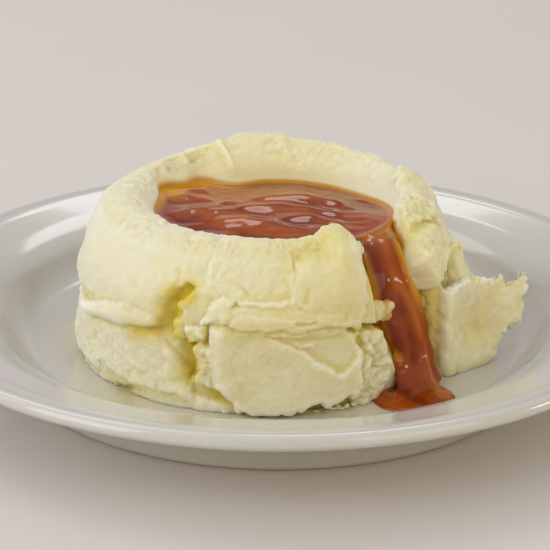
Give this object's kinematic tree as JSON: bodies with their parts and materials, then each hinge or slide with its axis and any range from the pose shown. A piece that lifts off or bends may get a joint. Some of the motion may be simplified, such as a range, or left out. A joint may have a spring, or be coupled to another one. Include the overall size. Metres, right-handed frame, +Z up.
{
  "type": "mashed potato side",
  "caption": "Mound of mashed potato with a hollow of brown gravy that runs down one side, served on a small round rolled-edge plate.",
  "frame": {"origin": "on the table under the middle of the plate", "axes": "+Z up; -Y towards the diner; +X to the diner's right, the side where the gravy runs down"},
  "size_m": [0.178, 0.178, 0.0481],
  "materials": {
    "plate": "glossy off-white glaze",
    "mash": "moist matte cream with a soft satin sheen, smoothed and torn by a spoon",
    "gravy": "glossy translucent brown sauce, amber where it is thin"
  },
  "bodies": {
    "root": {"plate": "plate", "mash": "mash", "gravy": "gravy"}
  },
  "joints": []
}
